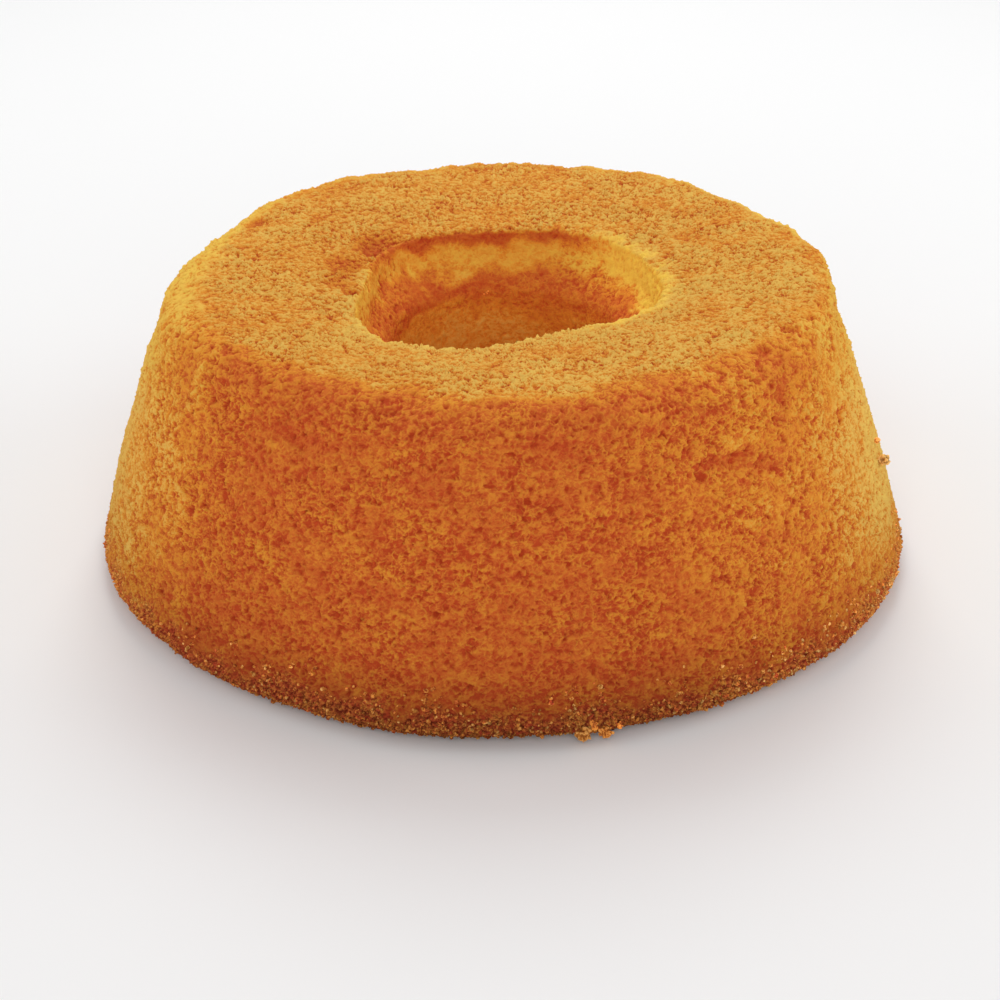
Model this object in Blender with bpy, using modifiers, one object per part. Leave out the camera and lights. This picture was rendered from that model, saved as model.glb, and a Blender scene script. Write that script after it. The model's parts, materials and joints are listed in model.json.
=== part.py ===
"""An angel food cake baked in a tube pan and turned out: one solid with a hole right through it.

A half section is turned into a ring with a Screw modifier. The ring is then made as uneven as a real
cake: a few slow waves go round its foot, its shoulder, its top edge and its hole.
Run with: blender --background --python part.py
"""

import math

import bpy

MM = 0.001

# The outer wall, in millimetres: it is widest just above the foot, which tucks in a little.
BASE_RADIUS = 105.0
WIDEST_HEIGHT = 6.0
FOOT_TUCK = 7.0
SIDE_BELLY = 1.2
SHOULDER_RADIUS = 85.5
SHOULDER_HEIGHT = 67.5
TOP_RADIUS = 76.5
HEIGHT = 75.0

# The hole: a nearly straight tube, a flared mouth, and a steep lip under the sagging top.
DISH = 3.0
MOUTH_RADIUS = 39.0
LIP_RADIUS = 37.5
LIP_DROP = 5.0
THROAT_RADIUS = 29.5
THROAT_HEIGHT = 56.0
TUBE_FOOT_RADIUS = 26.0

RIM_HEIGHT = HEIGHT - DISH
LIP_HEIGHT = RIM_HEIGHT - LIP_DROP

# How far the top and the mouth of the hole sit off the middle, and the slope of the top.
TOP_SHIFT = (2.6, 2.4)
MOUTH_SHIFT = (0.8, -2.5)
TOP_SLOPE = (0.003, -0.007)

# Waves round the cake: how many lobes, their size as a share of the radius, and where one points.
BASE_WAVES = ((2, 0.016, -20), (3, 0.012, -19), (5, 0.005, -21))
SHOULDER_WAVES = ((3, 0.005, -20), (4, 0.006, 31), (5, 0.010, -19), (6, 0.008, 12))
TOP_WAVES = ((2, 0.024, 21), (3, 0.020, -8), (5, 0.020, -9))
THROAT_WAVES = ((2, 0.030, 39), (3, 0.020, -3))
MOUTH_WAVES = ((2, 0.066, 39), (3, 0.062, -3), (4, 0.040, -36), (5, 0.011, -11))

TURN_STEPS = 96
WALL_ROWS = 11
CORNER_ROWS = 4
TOP_ROWS = 5
FLARE_ROWS = 5
TUBE_ROWS = 6
MERGE_DISTANCE = 0.00002

CRUST_COLOUR = (0.53, 0.16, 0.028, 1.0)
CRUST_ROUGHNESS = 0.8


def share_of(low, high, value):
    """How far value has come from low to high, from 0 to 1."""
    return min(1.0, max(0.0, (value - low) / (high - low)))


def between(low, high, share):
    return low + (high - low) * share


def heights(low, high, rows):
    """Rows of heights from low towards high, with low and without high."""
    return [between(low, high, row / rows) for row in range(rows)]


def outer_radius(height):
    """The cake's outer radius at this height: foot, sloping wall, then the rounded shoulder."""
    if height < WIDEST_HEIGHT:
        return BASE_RADIUS - FOOT_TUCK * (1 - height / WIDEST_HEIGHT) ** 2
    if height < SHOULDER_HEIGHT:
        climb = share_of(WIDEST_HEIGHT, SHOULDER_HEIGHT, height)
        return between(BASE_RADIUS, SHOULDER_RADIUS, climb) + SIDE_BELLY * math.sin(math.pi * climb)
    rise = share_of(SHOULDER_HEIGHT, HEIGHT, height)
    return between(TOP_RADIUS, SHOULDER_RADIUS, math.sqrt(max(0.0, 1 - rise * rise)))


def hole_radius(height):
    """The radius of the hole at this height: tube, flare, then the lip."""
    if height < THROAT_HEIGHT:
        return between(TUBE_FOOT_RADIUS, THROAT_RADIUS, height / THROAT_HEIGHT)
    if height < LIP_HEIGHT:
        climb = share_of(THROAT_HEIGHT, LIP_HEIGHT, height)
        return between(THROAT_RADIUS, LIP_RADIUS, (1 - math.cos(math.pi * climb)) / 2)
    return between(LIP_RADIUS, MOUTH_RADIUS, share_of(LIP_HEIGHT, RIM_HEIGHT, height))


def half_section():
    """The closed outline that is turned: down the wall, in under the foot, up the hole and over the top."""
    corner = heights(HEIGHT, SHOULDER_HEIGHT, CORNER_ROWS)
    wall = heights(SHOULDER_HEIGHT, WIDEST_HEIGHT, WALL_ROWS)
    foot = heights(WIDEST_HEIGHT, 0.0, CORNER_ROWS) + [0.0]
    tube = heights(0.0, THROAT_HEIGHT, TUBE_ROWS)
    flare = heights(THROAT_HEIGHT, LIP_HEIGHT, FLARE_ROWS)
    outline = [(outer_radius(height), height) for height in corner + wall + foot]
    outline += [(hole_radius(height), height) for height in tube + flare + [LIP_HEIGHT]]
    for row in range(TOP_ROWS):
        share = row / TOP_ROWS
        outline.append((between(MOUTH_RADIUS, TOP_RADIUS, share), HEIGHT - DISH * (1 - share) ** 2))
    return outline


def turned_ring(name):
    """The half section as a loop of edges, turned a full circle by a Screw modifier."""
    points = [(radius * MM, 0.0, height * MM) for radius, height in half_section()]
    edges = [(row, (row + 1) % len(points)) for row in range(len(points))]
    mesh = bpy.data.meshes.new(name)
    mesh.from_pydata(points, edges, [])
    ring = bpy.data.objects.new(name, mesh)
    screw = ring.modifiers.new("turn", "SCREW")
    screw.steps = TURN_STEPS
    screw.render_steps = TURN_STEPS
    screw.use_merge_vertices = True
    screw.merge_threshold = MERGE_DISTANCE
    return ring


def wave(waves, angle):
    """The share by which the waves push the radius out at this angle."""
    return sum(size * math.cos(lobes * (angle - math.radians(turn))) for lobes, size, turn in waves)


def outer_change(height, angle):
    """Growth and shift of the outer side: the foot's waves fade into the shoulder's, then the top's."""
    wall = share_of(0.0, SHOULDER_HEIGHT, height)
    corner = share_of(SHOULDER_RADIUS, TOP_RADIUS, outer_radius(height)) if wall == 1.0 else 0.0
    grow = between(wave(BASE_WAVES, angle), wave(SHOULDER_WAVES, angle), wall)
    return between(grow, wave(TOP_WAVES, angle), corner), [along * corner for along in TOP_SHIFT]


def hole_change(height, angle):
    """Growth and shift of the hole: nearly round at the foot, and more uneven towards its mouth."""
    risen = share_of(0.0, THROAT_HEIGHT, height)
    opened = share_of(THROAT_RADIUS, LIP_RADIUS, hole_radius(height))
    grow = between(wave(THROAT_WAVES, angle) * risen, wave(MOUTH_WAVES, angle), opened)
    return grow, [along * risen for along in MOUTH_SHIFT]


def uneven(point):
    """Where a point of the turned ring lies on the real, uneven cake."""
    radius = math.hypot(point.x, point.y) / MM
    height = point.z / MM
    angle = math.atan2(point.y, point.x)
    outward = share_of(hole_radius(height), outer_radius(height), radius)
    hole_grow, hole_shift = hole_change(height, angle)
    outer_grow, outer_shift = outer_change(height, angle)
    grown = radius * (1 + between(hole_grow, outer_grow, outward))
    x = grown * math.cos(angle) + between(hole_shift[0], outer_shift[0], outward)
    y = grown * math.sin(angle) + between(hole_shift[1], outer_shift[1], outward)
    z = height + share_of(0.0, HEIGHT, height) * (TOP_SLOPE[0] * x + TOP_SLOPE[1] * y)
    return x * MM, y * MM, z * MM


def made_mesh(turned):
    """The object's evaluated mesh, which takes the place of its outline and its modifier."""
    graph = bpy.context.evaluated_depsgraph_get()
    mesh = bpy.data.meshes.new_from_object(turned.evaluated_get(graph))
    outline = turned.data
    turned.modifiers.clear()
    turned.data = mesh
    bpy.data.meshes.remove(outline)
    mesh.name = turned.name
    return mesh


def centre_on_origin(mesh):
    """Shifts the mesh across and along, so that the origin is under the middle of its box."""
    for axis in (0, 1):
        places = [vertex.co[axis] for vertex in mesh.vertices]
        middle = (min(places) + max(places)) / 2
        for vertex in mesh.vertices:
            vertex.co[axis] -= middle


def crust_material():
    material = bpy.data.materials.new("golden_crust")
    material.use_nodes = True
    shader = material.node_tree.nodes["Principled BSDF"]
    shader.inputs["Base Color"].default_value = CRUST_COLOUR
    shader.inputs["Roughness"].default_value = CRUST_ROUGHNESS
    shader.inputs["Metallic"].default_value = 0.0
    return material


def main():
    for old in list(bpy.data.objects):
        bpy.data.objects.remove(old)
    parts = bpy.data.collections.new("angel_food_cake")
    bpy.context.scene.collection.children.link(parts)
    cake = turned_ring("cake")
    parts.objects.link(cake)
    mesh = made_mesh(cake)
    for vertex in mesh.vertices:
        vertex.co = uneven(vertex.co)
    centre_on_origin(mesh)
    mesh.materials.append(crust_material())
    mesh.shade_smooth()


main()
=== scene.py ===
"""Looks of an angel food cake: its porous golden crust, flared hole and torn foot, and its stage."""

import json
import math

import bpy
import numpy as np
from mathutils import Euler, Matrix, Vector

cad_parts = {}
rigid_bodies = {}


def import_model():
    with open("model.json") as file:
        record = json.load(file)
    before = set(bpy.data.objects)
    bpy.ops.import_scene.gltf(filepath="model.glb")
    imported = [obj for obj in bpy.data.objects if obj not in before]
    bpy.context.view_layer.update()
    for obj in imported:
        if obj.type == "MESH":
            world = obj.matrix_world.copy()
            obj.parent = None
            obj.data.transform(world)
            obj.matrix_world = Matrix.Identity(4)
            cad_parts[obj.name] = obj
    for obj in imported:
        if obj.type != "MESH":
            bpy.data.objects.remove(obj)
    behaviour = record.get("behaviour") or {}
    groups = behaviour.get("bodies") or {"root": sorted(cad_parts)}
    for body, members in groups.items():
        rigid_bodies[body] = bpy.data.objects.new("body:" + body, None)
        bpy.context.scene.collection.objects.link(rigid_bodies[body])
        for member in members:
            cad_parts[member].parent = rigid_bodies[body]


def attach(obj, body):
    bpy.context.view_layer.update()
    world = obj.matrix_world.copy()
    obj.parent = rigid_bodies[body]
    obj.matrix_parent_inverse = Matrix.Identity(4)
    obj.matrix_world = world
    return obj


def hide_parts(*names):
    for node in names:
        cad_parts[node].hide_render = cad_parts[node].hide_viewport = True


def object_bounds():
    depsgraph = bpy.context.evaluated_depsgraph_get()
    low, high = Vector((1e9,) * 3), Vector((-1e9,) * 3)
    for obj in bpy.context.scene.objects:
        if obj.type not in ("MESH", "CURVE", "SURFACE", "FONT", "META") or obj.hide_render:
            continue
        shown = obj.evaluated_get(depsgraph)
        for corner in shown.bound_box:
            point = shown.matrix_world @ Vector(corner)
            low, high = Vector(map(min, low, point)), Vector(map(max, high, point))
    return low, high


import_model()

bl_info = {
    "name": "Angel Food Cake",
    "version": (1, 0, 0),
    "blender": (4, 5, 0),
    "location": "3D View > Sidebar > Cake",
    "description": "Builds the crust, crumb and stage of an angel food cake round its solid",
    "category": "Add Mesh",
}

MM = 0.001
BODY = "root"
NODE = "cake"
CAD_LOW, CAD_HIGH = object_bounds()

# Stations along the closed half section. The attribute "along" runs through them.
TUBE_FOOT, FOOT, SHOULDER, TOP_EDGE, MOUTH, LIP, THROAT, TUBE_END = range(8)
# Where the crust of the top ends and the wall of the hole begins.
TOP_END = MOUTH + 0.5
# The quarters of the wall, in turn.
QUARTERS = ("wall_right", "wall_back", "wall_left", "wall_front")


# ------------------------ settings


def length(name, default_mm, description):
    """A size given in millimetres and kept in metres."""
    return bpy.props.FloatProperty(
        name=name, description=description, default=default_mm * MM, subtype="DISTANCE", unit="LENGTH"
    )


def amount(name, default, description):
    return bpy.props.FloatProperty(name=name, description=description, default=default)


def count(name, default, description):
    return bpy.props.IntProperty(name=name, description=description, default=default, min=1)


def colour(name, default, description):
    return bpy.props.FloatVectorProperty(
        name=name, description=description, default=default, subtype="COLOR", size=3, min=0.0, max=1.0
    )


class CakeShape(bpy.types.PropertyGroup):
    base_radius: length("Base radius", 105.0, "Widest radius, just above the foot")
    widest_height: length("Widest height", 6.0, "Height at which the cake is widest")
    foot_tuck: length("Foot tuck", 7.0, "How far the foot draws in below the widest place")
    side_belly: length("Side belly", 1.2, "How far the wall swells past a straight slope")
    shoulder_radius: length("Shoulder radius", 85.5, "Radius where the wall starts to round over")
    shoulder_height: length("Shoulder height", 67.5, "Height where the wall starts to round over")
    top_radius: length("Top radius", 76.5, "Radius of the flat top")
    height: length("Height", 75.0, "Height of the top edge above the foot")
    dish: length("Dish", 3.0, "How far the top sags towards the hole")
    mouth_radius: length("Mouth radius", 39.0, "Radius of the hole at the top")
    lip_radius: length("Lip radius", 37.5, "Radius of the hole under its lip")
    lip_drop: length("Lip drop", 5.0, "Depth of the steep lip round the mouth")
    throat_radius: length("Throat radius", 29.5, "Radius of the hole below its flare")
    throat_height: length("Throat height", 56.0, "Height of the lower end of the flare")
    tube_foot_radius: length("Tube foot radius", 26.0, "Radius of the hole at the foot")
    edge_rounding: length("Edge rounding", 1.6, "How far sharp edges are worn round")


class CrustRelief(bpy.types.PropertyGroup):
    wall_spacing: length("Wall spacing", 1.9, "Distance between the widest hollows of the wall")
    wall_height: length("Wall height", 2.9, "Height of the wall's open texture")
    top_spacing: length("Top spacing", 1.05, "Distance between the wrinkles of the top")
    top_height: length("Top height", 3.9, "Height of the wrinkles of the top")
    pit_spacing: length("Pit spacing", 1.7, "Distance between the separate pits")
    pit_depth: length("Pit depth", 0.7, "Depth of the separate pits")
    mark_height: length("Mark height", 1.0, "How far placed folds rise and placed dents sink")
    grain_spacing: length("Grain spacing", 0.9, "Width of the crumbs of the torn foot")
    grain_height: length("Grain height", 4.0, "How far the crumbs of the foot stand out")
    foot_height: length("Foot height", 12.0, "Height up to which the foot is torn crumb")
    lump_height: length("Lump height", 0.9, "Height of the slow lumps of the whole crust")
    rim_height: length("Rim height", 2.2, "How ragged the rim of the hole is")
    seed: length("Seed", 31.0, "How far every pattern of the crust is shifted")


# How golden the crust is, from its browning, with painted light and shade in some of these settings.
class CrustGoldAndPaintedLight(bpy.types.PropertyGroup):
    wall_gold: amount("Wall gold", 0.28, "How golden the wall's front is: 0 is red-brown and 1 pale")
    # Painted side light: the next two make the wall's left and right edges more golden.
    left_gold: amount("Left gold", 0.52, "Extra gold at the left edge of the wall")
    right_gold: amount("Right gold", 0.42, "Extra gold at the right edge of the wall")
    top_gold: amount("Top gold", 0.745, "How golden the top is")
    blotches: amount("Blotches", 0.65, "How much the gold varies from place to place")
    # Partly painted shade: the next two make the hollows redder and darker in colour than the ridges.
    wall_grain: amount("Wall grain", 3.25, "Extra gold of the wall's ridges over its hollows")
    top_grain: amount("Top grain", 4.4, "Extra gold of the top's wrinkles over its hollows")
    # Painted shadow under the back of the lip; the flare's gold below is partly painted light, and the
    # band's is painted shade.
    lip_gold: amount("Lip gold", 0.14, "How golden the lip is at the back of the hole")
    flare_gold: amount("Flare gold", 0.82, "How golden the flare of the hole is")
    band_gold: amount("Band gold", 0.34, "How golden the band below the flare is")
    tube_gold: amount("Tube gold", 0.48, "How golden the smooth wall low in the hole is")


class CrumbSettings(bpy.types.PropertyGroup):
    density: amount("Density", 0.80, "Crumbs on each square millimetre low on the foot")
    top: length("Top", 17.0, "Height that the crumbs of the foot reach")
    smallest: length("Smallest", 0.7, "Width of the smallest crumb")
    largest: length("Largest", 1.5, "Width of the largest crumb of the foot")
    swell: amount("Swell", 1.0, "How rough each crumb is, as a share of its width")
    seed: amount("Seed", 5.0, "Chance placing of the crumbs")


class CrustMesh(bpy.types.PropertyGroup):
    wall_columns: count("Wall columns", 470, "Faces round each quarter of the wall")
    wall_rows: count("Wall rows", 204, "Faces up the wall")
    top_columns: count("Top columns", 760, "Faces round each half of the top")
    top_rows: count("Top rows", 126, "Faces across the top")
    tube_columns: count("Tube columns", 640, "Faces round the hole")
    tube_rows: count("Tube rows", 150, "Faces down the hole")
    under_columns: count("Underside columns", 620, "Faces round the underside")
    under_rows: count("Underside rows", 60, "Faces across the underside")
    thickness: length("Thickness", 6.0, "Depth of the hidden back of each piece of crust")


class CrustColours(bpy.types.PropertyGroup):
    # The darkest colour, which the deepest pits reach: partly the crumb's own red-brown and partly
    # painted shade of the hollows.
    pit: colour("Pit", (0.52, 0.068, 0.017), "Red-brown bottoms of the pits")
    skin: colour("Skin", (0.626, 0.143, 0.024), "Browned skin of the wall")
    gold: colour("Gold", (0.77, 0.29, 0.032), "Golden crust")
    pale: colour("Pale gold", (0.84, 0.50, 0.105), "Palest ridges")
    light: colour("Light gold", (0.90, 0.60, 0.125), "Lightest specks")
    foot_tint: colour("Foot tint", (1.0, 0.97, 1.5), "Makes the crumb at the foot look drier")
    hole_tint: colour("Hole tint", (1.0, 0.97, 0.60), "Makes the palest gold in the hole deeper")


class StageSettings(bpy.types.PropertyGroup):
    camera_distance: length("Camera distance", 504.0, "From the camera to the point it looks at")
    camera_elevation: amount("Camera elevation", 30.0, "Degrees above the floor")
    camera_aim: length("Camera aim", 6.4, "Height of the point that the camera looks at")
    lens: amount("Lens", 66.09, "Focal length in millimetres")
    floor_colour: colour("Floor", (0.9, 0.9, 0.9), "Plain pale floor")
    world_light: amount("World light", 0.42, "Strength of the even white light all round")
    key_power: amount("Key power", 5.5, "Watts of the large light overhead")
    side_power: amount("Side power", 1.9, "Watts of each light at the sides")
    front_power: amount("Front power", 4.3, "Watts of the light beside the camera")


# ------------------------ the smooth, uneven cake

# Waves round the cake: how many lobes, their size as a share of the radius, and where one points.
BASE_WAVES = ((2, 0.016, -20), (3, 0.012, -19), (5, 0.005, -21))
SHOULDER_WAVES = ((3, 0.005, -20), (4, 0.006, 31), (5, 0.010, -19), (6, 0.008, 12))
TOP_WAVES = ((2, 0.024, 21), (3, 0.020, -8), (5, 0.020, -9))
THROAT_WAVES = ((2, 0.030, 39), (3, 0.020, -3))
MOUTH_WAVES = ((2, 0.066, 39), (3, 0.062, -3), (4, 0.040, -36), (5, 0.011, -11))
TOP_SHIFT = (2.6 * MM, 2.4 * MM)
MOUTH_SHIFT = (0.8 * MM, -2.5 * MM)
TOP_SLOPE = (0.003, -0.007)


def share_of(low, high, value):
    """How far value has come from low to high, from 0 to 1."""
    return np.clip((value - low) / (high - low), 0.0, 1.0)


def between(low, high, share):
    return low + (high - low) * share


def wave(waves, angle):
    """The share by which the waves push the radius out at this angle."""
    return sum(size * np.cos(lobes * (angle - math.radians(turn))) for lobes, size, turn in waves)


class Outline:
    """The cake without relief: a closed half section, and how it changes round the cake."""

    LEG_STEPS = 80
    STEP = 0.2 * MM
    STATION_STEP = 0.02

    def __init__(self, shape):
        self.s = shape
        self.rim_height = shape.height - shape.dish
        self.lip_height = self.rim_height - shape.lip_drop
        self.radius, self.height, self.along, self.walked = self.section()
        round_the_cake = np.radians(np.arange(0.0, 360.0, 3.75))
        points = self.place(self.radius[:, None], self.height[:, None], round_the_cake[None, :])
        self.middle = (points.max((0, 1)) + points.min((0, 1))) / 2
        self.middle[2] = 0.0

    def outer_radius(self, height):
        s = self.s
        foot = s.base_radius - s.foot_tuck * (1 - share_of(0.0, s.widest_height, height)) ** 2
        climb = share_of(s.widest_height, s.shoulder_height, height)
        wall = between(s.base_radius, s.shoulder_radius, climb) + s.side_belly * np.sin(math.pi * climb)
        rise = share_of(s.shoulder_height, s.height, height)
        corner = between(s.top_radius, s.shoulder_radius, np.sqrt(1 - rise * rise))
        upper = np.where(height < s.shoulder_height, wall, corner)
        return np.where(height < s.widest_height, foot, upper)

    def hole_radius(self, height):
        s = self.s
        tube = between(s.tube_foot_radius, s.throat_radius, share_of(0.0, s.throat_height, height))
        climb = share_of(s.throat_height, self.lip_height, height)
        flare = between(s.throat_radius, s.lip_radius, (1 - np.cos(math.pi * climb)) / 2)
        lip = between(s.lip_radius, s.mouth_radius, share_of(self.lip_height, self.rim_height, height))
        return np.where(height < s.throat_height, tube, np.where(height < self.lip_height, flare, lip))

    def section(self):
        """Radius, height, station and distance walked, at close steps once round the half section."""
        s = self.s
        share = np.linspace(0.0, 1.0, self.LEG_STEPS, endpoint=False)
        corner = between(s.shoulder_height, s.height, np.sin(share * math.pi / 2))
        legs = (
            (between(s.tube_foot_radius, s.base_radius - s.foot_tuck, share), 0.0 * share),
            (self.outer_radius, s.shoulder_height * share),
            (self.outer_radius, corner),
            (between(s.top_radius, s.mouth_radius, share), s.height - s.dish * share**2),
            (self.hole_radius, between(self.rim_height, self.lip_height, share)),
            (self.hole_radius, between(self.lip_height, s.throat_height, share)),
            (self.hole_radius, between(s.throat_height, 0.0, share)),
        )
        radius = [radius(height) if callable(radius) else radius for radius, height in legs]
        radius = np.append(np.concatenate(radius), s.tube_foot_radius)
        height = np.append(np.concatenate([height for _, height in legs]), 0.0)
        along = np.append(np.concatenate([station + share for station in range(len(legs))]), TUBE_END)
        walked = np.append(0.0, np.cumsum(np.hypot(np.diff(radius), np.diff(height))))
        evenly = np.linspace(0.0, walked[-1], round(walked[-1] / self.STEP) + 1)
        radius = self.worn(np.interp(evenly, walked, radius))
        height = self.worn(np.interp(evenly, walked, height))
        return radius, height, np.interp(evenly, walked, along), evenly

    def worn(self, values):
        """The values with their corners rounded, on a section that closes on itself."""
        reach = round(self.s.edge_rounding / self.STEP)
        window = np.hanning(2 * reach + 3)[1:-1]
        ring = values[:-1]
        wrapped = np.concatenate([ring[-reach:], ring, ring[:reach]])
        smooth = np.convolve(wrapped, window / window.sum(), "valid")
        return np.append(smooth, smooth[0])

    def place(self, radius, height, angle):
        """Where a point of the turned section lies on the uneven cake."""
        s = self.s
        wall = share_of(0.0, s.shoulder_height, height)
        on_corner = share_of(s.shoulder_radius, s.top_radius, self.outer_radius(height))
        corner = np.where(wall >= 1.0, on_corner, 0.0)
        outer = between(wave(BASE_WAVES, angle), wave(SHOULDER_WAVES, angle), wall)
        outer = between(outer, wave(TOP_WAVES, angle), corner)
        risen = share_of(0.0, s.throat_height, height)
        opened = share_of(s.throat_radius, s.lip_radius, self.hole_radius(height))
        inner = between(wave(THROAT_WAVES, angle) * risen, wave(MOUTH_WAVES, angle), opened)
        outward = share_of(self.hole_radius(height), self.outer_radius(height), radius)
        grown = radius * (1 + between(inner, outer, outward))
        x = grown * np.cos(angle) + between(MOUTH_SHIFT[0] * risen, TOP_SHIFT[0] * corner, outward)
        y = grown * np.sin(angle) + between(MOUTH_SHIFT[1] * risen, TOP_SHIFT[1] * corner, outward)
        z = height + share_of(0.0, s.height, height) * (TOP_SLOPE[0] * x + TOP_SLOPE[1] * y)
        return np.stack([x, y, z], -1)

    def stations(self, first, last, rows):
        """Stations from first to last, evenly spaced by distance along the section."""
        ends = np.interp([first, last], self.along, self.walked)
        return np.interp(np.linspace(ends[0], ends[1], rows + 1), self.walked, self.along)

    def points(self, along, angle):
        radius = np.interp(along % TUBE_END, self.along, self.radius)
        height = np.interp(along % TUBE_END, self.along, self.height)
        return self.place(radius[:, None], height[:, None], angle[None, :]) - self.middle

    def outward(self, along, angle):
        """Directions straight out of the cake, from small steps along it and round it."""
        step = self.STATION_STEP
        up = self.points(along + step, angle) - self.points(along - step, angle)
        turn = self.points(along, angle + step) - self.points(along, angle - step)
        normal = np.cross(turn, up)
        return normal / np.linalg.norm(normal, axis=-1, keepdims=True)


# ------------------------ node trees


class Value:
    """A socket that gives a number, with Python's operators as Math nodes."""

    def __init__(self, nodes, socket):
        self.nodes = nodes
        self.socket = socket

    def __add__(self, other):
        return self.nodes.math("ADD", self, other)

    def __sub__(self, other):
        return self.nodes.math("SUBTRACT", self, other)

    def __rsub__(self, other):
        return self.nodes.math("SUBTRACT", other, self)

    def __mul__(self, other):
        return self.nodes.math("MULTIPLY", self, other)

    def __truediv__(self, other):
        return self.nodes.math("DIVIDE", self, other)

    def __rtruediv__(self, other):
        return self.nodes.math("DIVIDE", other, self)

    __radd__ = __add__
    __rmul__ = __mul__

    def at(self, output):
        """Another output of the same node."""
        return Value(self.nodes, find_socket(self.socket.node.outputs, output))


def find_socket(sockets, key):
    """A socket by its place, its identifier or its name."""
    if isinstance(key, int):
        return sockets[key]
    for socket in sockets:
        if socket.identifier == key:
            return socket
    return next(socket for socket in sockets if socket.name == key and socket.enabled)


class Nodes:
    """Adds nodes to one tree, for geometry and for shading alike."""

    def __init__(self, tree):
        self.tree = tree

    def add(self, kind, settings=None, inputs=None, output=0):
        """A node with its settings made first, then its inputs. The result is the named output."""
        node = self.tree.nodes.new(kind)
        for name, value in (settings or {}).items():
            setattr(node, name, value)
        for key, value in (inputs or {}).items():
            self.feed(find_socket(node.inputs, key), value)
        return Value(self, find_socket(node.outputs, output)) if node.outputs else node

    def feed(self, socket, value):
        if isinstance(value, Value):
            self.tree.links.new(value.socket, socket)
        elif socket.type == "RGBA" and len(value) == 3:
            socket.default_value = (*value, 1.0)
        else:
            socket.default_value = value

    def math(self, operation, first, second=0.0):
        return self.add("ShaderNodeMath", {"operation": operation}, {0: first, 1: second})

    def smooth(self, value, low, high, to_low=0.0, to_high=1.0, kind="SMOOTHSTEP"):
        """A soft step from to_low to to_high as value goes from low to high."""
        inputs = {0: value, "From Min": low, "From Max": high, "To Min": to_low, "To Max": to_high}
        return self.add("ShaderNodeMapRange", {"interpolation_type": kind}, inputs)

    def over(self, value, stretch, to_low=0.0, to_high=1.0):
        """A soft step over a stretch given in millimetres."""
        return self.smooth(value, stretch[0] * MM, stretch[1] * MM, to_low, to_high)

    def vector(self, operation, *operands, scale=None):
        inputs = dict(enumerate(operands))
        if scale is not None:
            inputs["Scale"] = scale
        return self.add("ShaderNodeVectorMath", {"operation": operation}, inputs)

    def split(self, vector):
        """The three parts of a vector."""
        parts = self.add("ShaderNodeSeparateXYZ", {}, {0: vector})
        return parts, parts.at("Y"), parts.at("Z")

    def mix(self, factor, first, second):
        """A blend of two colours."""
        inputs = {"Factor_Float": factor, "A_Color": first, "B_Color": second}
        return self.add("ShaderNodeMix", {"data_type": "RGBA"}, inputs, "Result_Color")

    def noise(self, where, size, detail=2.0, rough=0.5):
        """Noise round 0.5, with features of about this size."""
        inputs = {"Vector": where, "Scale": 1.0 / size, "Detail": detail, "Roughness": rough}
        return self.add("ShaderNodeTexNoise", {"noise_dimensions": "3D"}, inputs)

    def warp(self, where, size, reach):
        """The place, pushed about so that patterns lose their straight edges."""
        push = self.vector("SUBTRACT", self.noise(where, size, 1.0).at("Color"), (0.5, 0.5, 0.5))
        return self.vector("ADD", where, self.vector("SCALE", push, scale=reach * 2.0))


# ------------------------ crust patterns

# Placed marks: x, y, z, reach round the cake and reach up it in millimetres, and strength.
# A strength above 0 is a raised golden fold, and below 0 a dark dent.
MARKS = (
    (-31.5, 22, 72, 12, 30, -1.5),
    (-40, 7, 72, 9, 30, -1.2),
    (-41, -4, 72.6, 7, 30, -0.8),
    (-38, -10.5, 72.3, 3, 30, -1.3),
    (-66.9, 33.6, 74.4, 4.5, 30, -1.4),
    (-55.7, 35.8, 74.4, 6, 30, 0.5),
    (-1.6, -56.4, 73, 2.6, 8, -1.1),
    (17.9, -54.7, 73, 2.6, 8, -1.1),
    (68.4, -39.1, 74.8, 2.4, 2.4, -0.9),
    (60.5, -50, 74.5, 2.6, 2.6, -0.9),
    (74.4, -30.5, 74.8, 2.8, 2.8, -0.9),
    (82.1, -40.3, 53.2, 3, 3, -0.8),
    (64.5, -57.4, 67, 3, 7, -0.9),
    (52.8, -71.9, 58.6, 9, 2.6, -0.9),
    (60.3, -68, 54.4, 8, 2.6, -0.7),
    (52.7, -70.5, 62.4, 14, 3, 0.35),
    (-70.3, -50.4, 64, 5, 13, 0.9),
    (-46.4, -71.8, 65, 15, 4, -0.5),
)

# Stretches over which something changes softly, in millimetres from the first place to the last.
# Across the cake:
SOFT_RIM_X = (10, 30)
OPEN_HOLE_X = (10, 28)
# Painted light on the right side of the hole comes in over this.
RIGHT_HOLE_LIGHT_X = (16, 34)
PITTED_HOLE_X = (-20, -32)
# Painted shadow under the back of the lip fades out over these.
LIP_SHADOW_RIGHT_X = (38, 14)
LIP_SHADOW_LEFT_X = (-40, -22)
BAND_RIGHT_X = (0, 22)
BAND_LEFT_X = (-18, -32)
SHADE_X = (0, -12)
LEFT_TOP_X = (0, -50)
# Painted shade of the foot eases off towards the left and right over these two.
FOOT_SHADE_LEFT_X = (-75, -30)
FOOT_SHADE_RIGHT_X = (30, 75)
FEW_CRUMBS_LEFT_X = (-80, -35)
FEW_CRUMBS_RIGHT_X = (90, 50)
# Painted side light: crumbs and torn bits grow more golden towards the sides over these.
LIT_CRUMBS_LEFT_X = (-50, -90)
LIT_CRUMBS_RIGHT_X = (35, 90)
LIT_BITS_X = (40, 90)
# From front to back:
FRONT_Y = (-30, -80)
BACK_Y = (5, 45)
FAR_TOP_Y = (-30, 40)
# Painted shadow at the back of the lip comes in over this.
LIP_SHADOW_Y = (-5, 12)
# A painted highlight along the near rim comes in over this.
RIM_HIGHLIGHT_Y = (-10, -30)
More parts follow.
